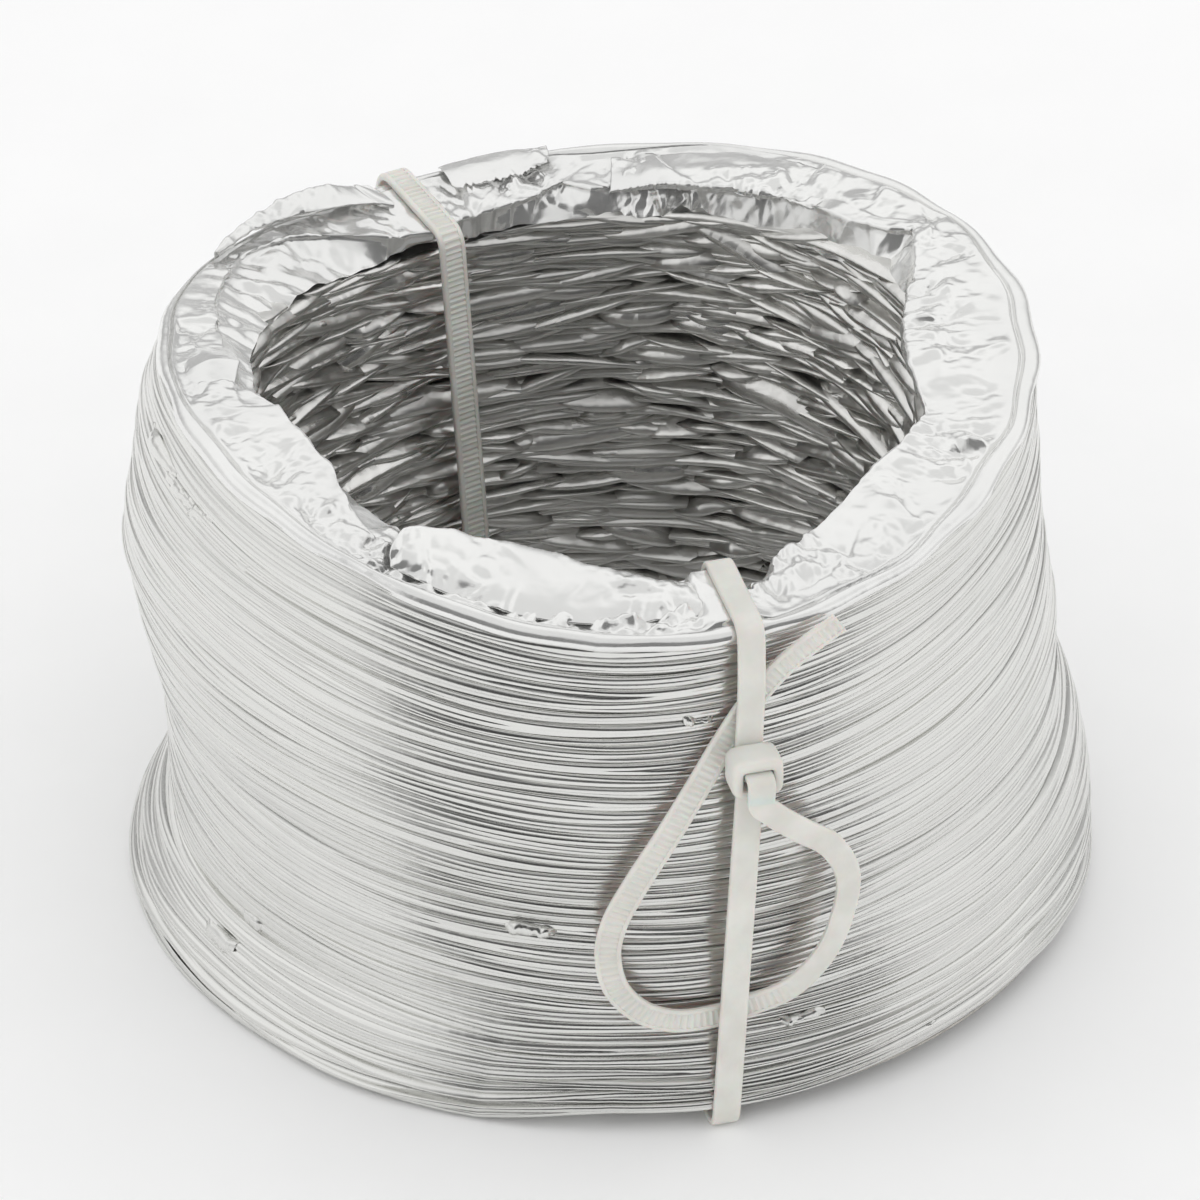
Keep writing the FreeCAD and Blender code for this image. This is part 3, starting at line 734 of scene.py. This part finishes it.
def smooth_through(places, values, at):
    """Smooth curve through values at their places, with slopes from their neighbours."""
    slopes = np.gradient(values, places)
    index = np.clip(np.searchsorted(places, at) - 1, 0, len(places) - 2)
    span = places[index + 1] - places[index]
    share = (at - places[index]) / span
    low, high = values[index], values[index + 1]
    rise_low, rise_high = slopes[index] * span, slopes[index + 1] * span
    return (
        (2 * share ** 3 - 3 * share ** 2 + 1) * low + (share ** 3 - 2 * share ** 2 + share) * rise_low
        + (3 * share ** 2 - 2 * share ** 3) * high + (share ** 3 - share ** 2) * rise_high
    )


FOIL_THICKNESS = 0.14
FLAP_CREASES = 90


def flap(name, lines, seed, crumple, body, material, torn=0, columns=150, rows=44):
    """Loose piece of foil through lines of (degrees, radius, level), with a real thickness."""
    rng = np.random.default_rng(seed)
    lines = np.array(lines, float)
    share = np.linspace(0, 1, columns)
    stations = np.linspace(0, 1, lines.shape[1])
    drawn = np.stack([
        np.stack([np.interp(share, stations, line[:, axis]) for axis in range(3)], -1) for line in lines
    ])
    places = np.linspace(0, 1, len(lines))
    fine = np.linspace(0, 1, rows)
    surface = np.stack([
        np.stack([smooth_through(places, drawn[:, column, axis], fine) for axis in range(3)], -1)
        for column in range(columns)
    ], 1)
    angle, radius, level = surface[..., 0], surface[..., 1], surface[..., 2]
    if torn:
        place = share * columns
        ragged = waves(place, rng, 7, 3, 30) + 0.5 * np.abs(waves(place, rng, 5, 2, 6))
        radius = radius + torn * ragged * fine[:, None] ** 3
    points = placed(angle, level, radius)
    x, y, z = points[..., 0], points[..., 1], points[..., 2]
    push = (creases(x + 0.5 * z, y - 0.3 * z, 14, rng, 5) - 0.45) * 1.6 * crumple
    local = smooth_step(creases(x, y, 26, rng, 4), 0.36, 0.56)
    small = creases(x - 0.5 * z, y + 0.5 * z, 3.4, rng, 6) - 0.45
    push = push + small * (0.3 + 2.6 * local) * crumple
    push = push + 0.8 * long_creases(x, y, rng, FLAP_CREASES, (56, 80))
    points = points + normals_of(points) * push[..., None]
    flat = np.stack([np.radians(angle) * 0.07, radius * METRES], -1)
    piece = grid(name, points, flat, material)
    sheet_of_foil = piece.modifiers.new("thickness", "SOLIDIFY")
    sheet_of_foil.thickness = FOIL_THICKNESS * METRES
    sheet_of_foil.offset = 0
    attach(piece, body)
    return piece


lip()

# Flap that stands over the dip at the front: its outer edge, its crown and its inner edge
FRONT_FLAP = [
    [(330.5, 71.2, 95.6), (337, 70.9, 95), (345, 70.6, 94.9), (353, 70, 95),
     (361, 69.6, 95.1), (369, 68, 95.2), (375.5, 67.8, 95.2)],
    [(329.5, 69.4, 97.4), (336, 67.5, 96.9), (345, 66.4, 96.8), (353, 65.8, 96.8),
     (361, 65.4, 96.9), (369, 64.8, 97.1), (375.5, 65, 96.4)],
    [(329.4, 64.8, 98.9), (335, 60.3, 98), (345, 59.2, 97.8), (353, 58.6, 97.8),
     (361, 59.6, 97.9), (369, 60.8, 98), (375.5, 61, 96.6)],
    [(330.5, 62.6, 98), (335, 57.4, 97.6), (345, 55, 97.5), (353, 53.9, 97.4),
     (361, 56, 97.4), (369, 58.4, 97.2), (375.5, 59, 96.3)],
    [(331.5, 62.8, 96), (336, 57.8, 95.2), (345, 55.6, 95), (353, 54.6, 95),
     (361, 56.8, 95), (369, 59, 95.4), (375.5, 59.6, 95)],
]
# The others, also from their outer edge inwards
BACK_LEFT_FLAP = [
    [(243, 75, 95.6), (236, 76.2, 97), (228, 76.4, 98.4), (220, 76, 98.6),
     (215, 75.6, 97.6), (212.5, 75.2, 96.9)],
    [(243, 75, 97.3), (235.5, 75.4, 99.4), (227.5, 75, 101), (219.5, 74.4, 101),
     (215, 73.4, 99), (212.5, 71.6, 97.7)],
    [(242.6, 74.6, 97.2), (235, 73.4, 98.9), (226.5, 71.4, 99.4), (219.5, 69.6, 99),
     (215, 68.4, 98.3), (212.5, 66.6, 97.7)],
    [(242.4, 74.4, 96.6), (235.4, 73.6, 98), (227, 71.9, 98.2), (220, 70.4, 97.8),
     (215.5, 69.2, 97.3), (213, 67.6, 96.9)],
]
BACK_FLAP = [
    [(202, 75.3, 96.6), (197, 75.5, 96.9), (192, 75.5, 97.2), (187, 75.2, 97.3)],
    [(202, 72, 97.2), (197, 71.8, 97.6), (192, 71.8, 97.7), (187, 72.4, 97.8)],
    [(202, 67.4, 96.8), (197, 67, 97.1), (192, 67.2, 97.2), (187.5, 69.2, 97.6)],
]
BACK_FOLD = [
    [(178, 71, 95.5), (170, 71, 96.7), (160, 71.2, 96.8), (150, 71.4, 96.4), (142, 71.2, 95.2)],
    [(178, 65.4, 95.9), (170, 65, 97.4), (160, 64.6, 97.6), (150, 65.4, 97), (142, 66, 95.4)],
    [(178, 61.4, 95.7), (170, 61, 97), (160, 60.4, 97), (150, 60.8, 96.5), (142, 61.6, 95.2)],
    [(178, 60.8, 95.2), (170, 60.6, 95.8), (160, 59.8, 95.8), (150, 60.4, 95.6), (142, 61.2, 94.8)],
]
LEFT_PANEL = [
    [(273, 73.6, 94.6), (279, 73.8, 94.8), (286, 73.4, 94.8)],
    [(272.5, 68.4, 96.4), (279, 68.2, 97.6), (286.5, 69.4, 95.8)],
    [(273.5, 63.4, 96.2), (279, 62.8, 97.3), (286, 65.2, 95.6)],
    [(274, 63, 95.4), (279, 62.4, 96.4), (285.5, 65.4, 95)],
]
flap("front_flap", FRONT_FLAP, 31, 0.45, "turns_8", LIP_FOIL, torn=0.25)
flap("back_left_flap", BACK_LEFT_FLAP, 32, 0.35, "turns_8", LIP_FOIL)
flap("back_torn_flap", BACK_FLAP, 33, 0.4, "turns_8", LIP_FOIL, torn=0.45, columns=110)
flap("back_fold", BACK_FOLD, 34, 0.7, "turns_8", LIP_FOIL, torn=0.2)
flap("left_panel", LEFT_PANEL, 35, 0.4, "turns_8", LIP_FOIL, columns=90)


# Scraps of foil caught between the turns

# (degrees, level, length, height), and the section that carries each
SCRAPS = [
    (350, 36.5, 9, 1.6, 3), (14.5, 80.5, 5, 1.8, 7), (22, 16, 8, 1.5, 2), (306, 16, 6, 2.2, 2),
    (301, 9.5, 9, 2.4, 1), (41, 3.8, 9, 1.6, 1), (287, 87.5, 16, 1.9, 8), (297, 86.2, 18, 2.1, 8),
    (308, 85.2, 15, 1.7, 8),
]
# (share of the half length, how far it is sunk, share of its tilt) along a scrap
SCRAP_PLACES = ((-1, -0.9, 0), (-0.6, 0, 0.3), (0, 0, 0.1), (0.6, 0, -0.2), (1, -0.9, 0))
# (distance out of the gap, share of its height) from its upper edge to its lower
SCRAP_LINES = ((-0.9, 0.5), (0.05, 0.4), (0.35, 0), (0.1, -0.4), (-0.9, -0.5))
USUAL_RADIUS = 78


def scrap(number, angle, level, length, height, section):
    """Crushed shred of foil that stands a little out of the gap between two turns."""
    turned = math.degrees(length / 2 / USUAL_RADIUS)
    radius = lean_and_radius(level)[1]
    lines = [
        [
            (angle + turned * step, radius + out + sunk, level + height * up + tilt * step)
            for step, sunk, tilt in SCRAP_PLACES
        ]
        for out, up in SCRAP_LINES
    ]
    body = "base_turns" if section == 1 else "turns_%d" % section
    flap("foil_scrap_%d" % number, lines, 60 + number, 0.75, body, TURNS_FOIL, 0.2, 60, 18)


for number, facts in enumerate(SCRAPS, start=1):
    scrap(number, *facts)


# Cable ties

# (radius, height) corners of each strap, from under its head round the wall and through the head
STRAPS = {
    "front": [
        (82.576, 71.1), (85.55, 0.65), (54.29, 0.65), (54.29, 97.6), (76.18, 97.6), (79.02, 88),
        (80.33, 74.5), (89.23, 74.5), (89.23, 70.6),
    ],
    "rear": [
        (85.882, 71.1), (85.55, 0.65), (54.73, 0.65), (54.73, 97.6), (77.9, 97.6), (82.29, 88),
        (83.63, 74.5), (92.53, 74.5), (92.53, 70.6),
    ],
}
TIE_ANGLES = {"front": FRONT_TIE, "rear": REAR_TIE}
# (degrees from the tie, height, distance from the stack) along the tail, from the head to its tip
TAIL = [
    (2.5, 67.2, 10.2), (6, 62.3, 9.9), (10, 56.5, 8.4), (12.6, 48.5, 7.3), (12.6, 40, 6.6),
    (10.4, 32, 5.2), (6.2, 26, 3.3), (1, 22.8, 1.5), (-3.5, 21.6, 1.5), (-8, 22, 2.3),
    (-12, 24.7, 3.2), (-14.9, 29.7, 4), (-15.9, 36.2, 4.4), (-15.2, 43, 4.5),
    (-12.8, 51.5, 4.3), (-9, 61, 3.6), (-4.5, 70.5, 2.3), (-0.8, 77.5, 1.15),
    (2.2, 83, 1.25), (5.6, 87.6, 1.5), (10, 92, 2.4), (14.2, 95.6, 3.8),
]
STRAP_WIDTH = 4.8
STRAP_THICKNESS = 1.3
STRAP_BEND = 3.2
TAIL_WIDTH = 4.6
TAIL_THICKNESS = 1.0
# The straps lean to one side, about their middle height
STRAP_TILT = 4
STRAP_MIDDLE = 48
RING_SPACING = 0.3
TOOTH_PITCH = 1.15
STRAP_TOOTH = 0.3
TAIL_TOOTH = 0.24
# Shares of the tail between which its teeth begin
TEETH_START = (0.3, 0.36)
# (share of half the width, share of half the thickness) round a strap, and the toothed side's points
STRAP_OUTLINE = [
    (-1, 0.55), (-0.93, 0.86), (-0.84, 1), (-0.66, 1), (-0.62, 1), (0.62, 1),
    (0.66, 1), (0.84, 1), (0.93, 0.86), (1, 0.55), (1, -0.55), (0.93, -0.9), (0.8, -1),
    (-0.8, -1), (-0.93, -0.9), (-1, -0.55),
]
TOOTHED_SIDE = (4, 5)
HEAD_LEVEL = 74.5
HEAD_TOP = 77.65
HEAD_BOTTOM = 69.9
HEAD_WIDTH = 9.2
HEAD_DEPTH = 5.9
TUNNEL_SHIFT = -0.28
HEAD_POINTS = 48


def side_shift(height):
    """How far a strap stands to the side at a height."""
    return (height - STRAP_MIDDLE) * math.tan(math.radians(STRAP_TILT))


def turned_about(points, degrees):
    """Points turned about the upright axis."""
    turned = math.radians(degrees)
    table = np.array([
        [math.cos(turned), -math.sin(turned), 0], [math.sin(turned), math.cos(turned), 0], [0, 0, 1]
    ])
    return points @ table.T


def rounded(corners):
    """Points along a strap's route with its corners rounded."""
    corners = [np.array(corner, float) for corner in corners]
    line = [corners[0]]
    for before, corner, after in zip(corners, corners[1:], corners[2:]):
        back, ahead = before - corner, after - corner
        reach = min(STRAP_BEND, 0.45 * np.linalg.norm(back), 0.45 * np.linalg.norm(ahead))
        start = corner + back / np.linalg.norm(back) * reach
        end = corner + ahead / np.linalg.norm(ahead) * reach
        for share in np.linspace(0, 1, 9):
            middle = 2 * share * (1 - share) * corner
            line.append((1 - share) ** 2 * start + middle + share ** 2 * end)
    line.append(corners[-1])
    return np.array(line)


def evenly(line, facing):
    """Places at even spacing along a line, the line there and the way that it faces."""
    lengths = np.append(0, np.cumsum(np.linalg.norm(np.diff(line, axis=0), axis=1)))
    keep = np.append(True, np.diff(lengths) > 1e-6)
    lengths = lengths[keep]
    places = np.linspace(0, lengths[-1], int(lengths[-1] / RING_SPACING) + 1)

    def sampled(values):
        return np.stack([np.interp(places, lengths, column) for column in values[keep].T], -1)

    return places, sampled(line), sampled(facing)


def unit(vectors):
    """Vectors made 1 long."""
    return vectors / np.maximum(np.linalg.norm(vectors, axis=-1, keepdims=True), 1e-9)


def strap(name, line, out, width, thickness, toothed):
    """Strap with rounded edges along a line. Toothed says how deep the teeth are at each point of the
    side that faces out."""
    way = unit(np.gradient(line, axis=0))
    across = unit(np.cross(out, way))
    facing = np.cross(way, across)
    rings = []
    for index, (sideways, outwards) in enumerate(STRAP_OUTLINE):
        push = np.full(len(line), outwards * thickness / 2)
        if index in TOOTHED_SIDE:
            push = push - toothed
        rings.append(line + across * (sideways * width / 2) + facing * push[:, None])
    mesh = tube(name, np.stack(rings, 1)[:, ::-1])
    mesh.set_sharp_from_angle(angle=math.radians(42))
    return finished(name, mesh, NYLON)


def teeth(places, depth):
    """Depth of the gaps between the rungs of a toothed strap."""
    return depth * smooth_step(np.abs(np.mod(places / TOOTH_PITCH, 1) * 2 - 1), 0.3, 0.62)


def join(pieces, name):
    """One object of several."""
    bpy.ops.object.select_all(action="DESELECT")
    for piece in pieces:
        piece.select_set(True)
    bpy.context.view_layer.objects.active = pieces[0]
    bpy.ops.object.join()
    pieces[0].name = name
    return pieces[0]


def head(name, back, middle):
    """Head of a tie: a rounded block round a tunnel for the strap and the pawl."""
    spots = np.linspace(0, 2 * math.pi, HEAD_POINTS, endpoint=False)
    cosine, sine = np.cos(spots), np.sin(spots)
    centre, tall = (HEAD_TOP + HEAD_BOTTOM) / 2, HEAD_TOP - HEAD_BOTTOM
    front = back + HEAD_DEPTH

    def loop(width, height, depth, shift, power):
        x = np.sign(cosine) * np.abs(cosine) ** (2 / power) * width / 2
        z = np.sign(sine) * np.abs(sine) ** (2 / power) * height / 2
        return np.stack([middle + x, np.full(HEAD_POINTS, -depth), centre + shift + z], -1)

    loops = [
        loop(5.5, 3.9, back + 0.05, TUNNEL_SHIFT, 9), loop(6.3, 4.6, back, TUNNEL_SHIFT, 7),
        loop(8.0, tall - 0.9, back, 0, 5), loop(8.9, tall - 0.2, back + 0.35, 0, 4.6),
        loop(HEAD_WIDTH, tall, back + 1.0, 0, 4.4), loop(HEAD_WIDTH, tall, front - 1.2, 0, 4.4),
        loop(8.8, tall - 0.3, front - 0.45, 0, 4.2), loop(8.0, tall - 0.95, front - 0.05, 0, 4.6),
        loop(6.3, 4.5, front, TUNNEL_SHIFT, 7), loop(5.5, 3.9, front - 0.15, TUNNEL_SHIFT, 9),
        loop(5.4, 3.8, front - 1.0, TUNNEL_SHIFT, 9), loop(5.4, 3.8, back + 1.0, TUNNEL_SHIFT, 9),
        loop(5.5, 3.9, back + 0.05, TUNNEL_SHIFT, 9),
    ]
    return finished(name, tube(name, np.stack(loops), ends=False), NYLON)


def cable_tie(which):
    """Strap, tail and head of one tie, as one piece."""
    angle = TIE_ANGLES[which]
    route = rounded(STRAPS[which])
    height = route[:, 1]
    line = np.stack([side_shift(height), -route[:, 0], height], -1)
    way = np.gradient(route, axis=0)
    outwards = np.stack([np.zeros(len(way)), way[:, 1], way[:, 0]], -1)
    places, line, out = evenly(line, unit(outwards))
    inside = teeth(places, STRAP_TOOTH) if which == "rear" else 0 * places
    band = strap(
        "%s_strap" % which, turned_about(line, angle), turned_about(unit(out), angle),
        STRAP_WIDTH, STRAP_THICKNESS, inside
    )

    hanging, end_height = STRAPS[which][-1]
    spots = [np.array([side_shift(z), -hanging, z]) for z in (end_height + 1.2, end_height)]
    faces = [np.array([0.0, -1.0, 0.0])] * 2
    for swing, z, off in TAIL:
        turned = math.radians(angle + swing)
        lean, radius = lean_and_radius(z)
        away = radius + lean * math.sin(turned) + off
        swung = math.radians(swing)
        spots.append(np.array([away * math.sin(swung), -away * math.cos(swung), z]))
        faces.append(np.array([math.sin(swung), -math.cos(swung), 0.0]))
    places = np.append(0, np.cumsum(np.linalg.norm(np.diff(spots, axis=0), axis=1)))
    spots, faces = np.array(spots), np.array(faces)
    fine = np.linspace(0, places[-1], int(places[-1] / RING_SPACING))
    curve = np.stack([smooth_through(places, column, fine) for column in spots.T], -1)
    facing = unit(np.stack([np.interp(fine, places, column) for column in faces.T], -1))
    depth = teeth(fine, TAIL_TOOTH) * smooth_step(fine / fine[-1], *TEETH_START)
    tail = strap(
        "%s_tail" % which, turned_about(curve, angle), turned_about(facing, angle),
        TAIL_WIDTH, TAIL_THICKNESS, depth
    )

    block = head("%s_head" % which, STRAPS[which][0][0] - STRAP_THICKNESS, side_shift(HEAD_LEVEL))
    corners = turned_about(np.array([corner.co for corner in block.data.vertices]), angle)
    block.data.vertices.foreach_set("co", corners.astype(np.float32).ravel())
    piece = join([band, tail, block], "%s_nylon_tie" % which)
    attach(piece, "base_turns")
    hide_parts("%s_cable_tie" % which)
    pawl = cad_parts["%s_tie_pawl" % which]
    pawl.data.materials.clear()
    pawl.data.materials.append(NYLON)


cable_tie("front")
cable_tie("rear")


# Floor, light and camera

# Metres, but for the width of the sensor and the focal length, which are in millimetres
FLOOR_RADIUS = 4
FLOOR_SIDES = 96
FLOOR_LEVEL = -0.00005
FAR_END = 20
CAMERA_PLACE = Vector((-0.0019, -2.4575, 1.7734))
CAMERA_AIM = Vector((-0.0019, 0, 0.05265))
SENSOR_WIDTH = 36
FOCAL_LENGTH = 517


def floor_disc():
    """Pale floor that runs far out to all sides."""
    made = Shader("pale_floor")
    grain = made.noise(made.place(), 40, 3)
    tone = made.tone(grain, 0.3, 0.7, (0.965, 0.965, 0.965, 1), (0.98, 0.98, 0.98, 1))
    material = made.put(Base_Color=tone, Roughness=0.9, Specular_IOR_Level=0.1)
    spots = np.linspace(0, 2 * math.pi, FLOOR_SIDES, endpoint=False)
    rim = [(FLOOR_RADIUS * math.cos(spot), FLOOR_RADIUS * math.sin(spot), FLOOR_LEVEL) for spot in spots]
    mesh = bpy.data.meshes.new("floor")
    mesh.from_pydata(rim, [], [tuple(range(len(rim)))])
    floor = finished("floor", mesh, material)


def studio():
    """White all round, with a darker room towards the front that only shines in gloss."""
    world = bpy.data.worlds.new("studio")
    bpy.context.scene.world = world
    world.use_nodes = True
    tree = world.node_tree
    tree.nodes.clear()

    def combined(operation, first, second):
        return add_node(tree, "ShaderNodeMath", {0: first, 1: second}, operation=operation).outputs[0]

    def window(value, low, high, soft):
        """1 between low and high and 0 beyond them, with soft edges."""
        opening = ranged(tree, value, low - soft, low + soft, 0, 1, "SMOOTHSTEP")
        closing = ranged(tree, value, high - soft, high + soft, 1, 0, "SMOOTHSTEP")
        return combined("MULTIPLY", opening, closing)

    def switch(share, off, on):
        return add_node(tree, "ShaderNodeMix", {0: share, 2: off, 3: on}, data_type="FLOAT").outputs[0]

    direction = add_node(tree, "ShaderNodeTexCoord").outputs["Generated"]
    x, y, z = add_node(tree, "ShaderNodeSeparateXYZ", {0: direction}).outputs
    azimuth = combined("ARCTAN2", x, combined("MULTIPLY", y, -1))
    sideways = window(azimuth, math.radians(-41), math.radians(62), 0.16)
    room = combined("MULTIPLY", sideways, window(z, -0.2, 0.84, 0.12))
    horizon = combined("MULTIPLY", window(y, 0.5, 2, 0.3), window(z, -0.1, 0.3, 0.1))
    walls = window(z, -0.12, 0.45, 0.12)
    shine = ranged(tree, z, 0.8, 0.97, 1, 0.76, "SMOOTHSTEP")
    for place, shade in ((room, 0.05), (horizon, 0.55), (walls, 0.76)):
        shine = combined("MULTIPLY", shine, ranged(tree, place, 0, 1, 1, shade))
    path = add_node(tree, "ShaderNodeLightPath").outputs
    glossy = switch(path["Is Glossy Ray"], 1, shine)
    seen = switch(path["Is Camera Ray"], glossy, 1)
    background = add_node(tree, "ShaderNodeBackground", {"Color": (1, 1, 1, 1), "Strength": seen})
    output = add_node(tree, "ShaderNodeOutputWorld")
    tree.links.new(background.outputs[0], output.inputs["Surface"])


def camera():
    """Camera at the angle of the photograph."""
    lens = bpy.data.cameras.new("camera")
    lens.sensor_width = SENSOR_WIDTH
    lens.lens = FOCAL_LENGTH
    lens.clip_end = FAR_END
    view = bpy.data.objects.new("camera", lens)
    view.location = CAMERA_PLACE
    view.rotation_euler = (CAMERA_AIM - CAMERA_PLACE).to_track_quat("-Z", "Y").to_euler()
    bpy.context.scene.collection.objects.link(view)
    bpy.context.scene.camera = view


floor_disc()
studio()
camera()
bpy.context.scene.view_settings.view_transform = "Standard"
